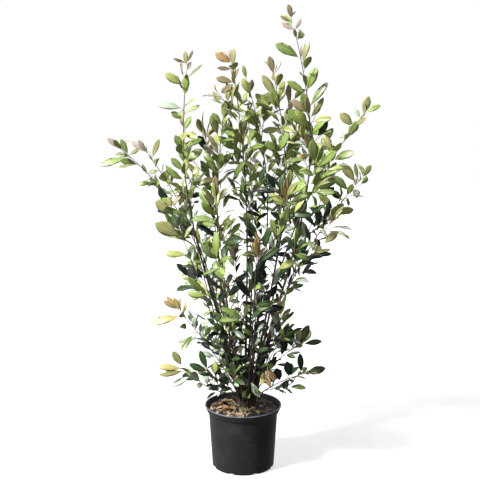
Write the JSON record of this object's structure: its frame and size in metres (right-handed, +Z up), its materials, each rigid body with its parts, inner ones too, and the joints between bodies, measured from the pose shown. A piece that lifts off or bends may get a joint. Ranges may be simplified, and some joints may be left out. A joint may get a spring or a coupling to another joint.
{
  "type": "potted photinia shrub",
  "caption": "Open, upright multi-stemmed evergreen shrub with bronze-tipped glossy leaves, standing in its black nursery pot of bark compost",
  "frame": {"origin": "centre of the pot's flat underside", "axes": "+Z up, -Y towards someone facing the plant's front, +X to their right"},
  "size_m": [1.2336, 0.8655, 2.1145],
  "materials": {
    "pot_plastic": "charcoal-black moulded plastic, satin, a little dusty and scuffed",
    "potting_mix": "dark moist bark compost with tan chips",
    "bark": "thin purple-brown bark, smooth on shoots and lightly ridged at the foot",
    "foliage": "leathery leaves, dark and mid green, glossy above and paler and matt below",
    "young_foliage": "younger leaves, yellow-green with bronze and pinkish tips, semi-gloss"
  },
  "bodies": {
    "root": {"pot": "pot_plastic", "soil": "potting_mix", "trunk": "bark", "left_tall_bough": "bark", "left_outer_bough": "bark", "left_inner_bough": "bark", "left_long_bough": "bark", "left_high_bough": "bark", "centre_left_bough": "bark", "centre_bough": "bark", "centre_right_bough": "bark", "tallest_bough": "bark", "right_long_bough": "bark", "right_low_bough": "bark", "right_side_bough": "bark", "back_left_bough": "bark", "back_bough": "bark", "back_right_bough": "bark", "left_back_bough": "bark", "right_back_bough": "bark", "front_left_bough": "bark", "front_right_bough": "bark", "front_bough": "bark", "middle_bough": "bark", "left_tall_leaves": "young_foliage", "left_outer_leaves": "foliage", "left_inner_leaves": "young_foliage", "left_long_leaves": "young_foliage", "left_high_leaves": "young_foliage", "centre_left_leaves": "young_foliage", "centre_leaves": "young_foliage", "centre_right_leaves": "young_foliage", "tallest_leaves": "young_foliage", "right_long_leaves": "young_foliage", "right_low_leaves": "foliage", "right_side_leaves": "foliage", "back_left_leaves": "young_foliage", "back_leaves": "young_foliage", "back_right_leaves": "young_foliage", "left_back_leaves": "foliage", "right_back_leaves": "foliage", "front_left_leaves": "foliage", "front_right_leaves": "foliage", "front_leaves": "foliage", "middle_leaves": "foliage", "low_left_upper_leaves": "foliage", "low_left_leaves": "foliage", "low_left_front_leaves": "foliage", "low_right_leaves": "foliage", "low_right_upper_leaves": "foliage", "low_front_leaves": "foliage", "low_back_left_leaves": "foliage", "low_back_right_leaves": "foliage", "inner_left_leaves": "foliage", "inner_front_leaves": "foliage", "inner_right_leaves": "foliage", "inner_back_leaves": "foliage", "inner_back_left_leaves": "foliage"}
  },
  "joints": []
}
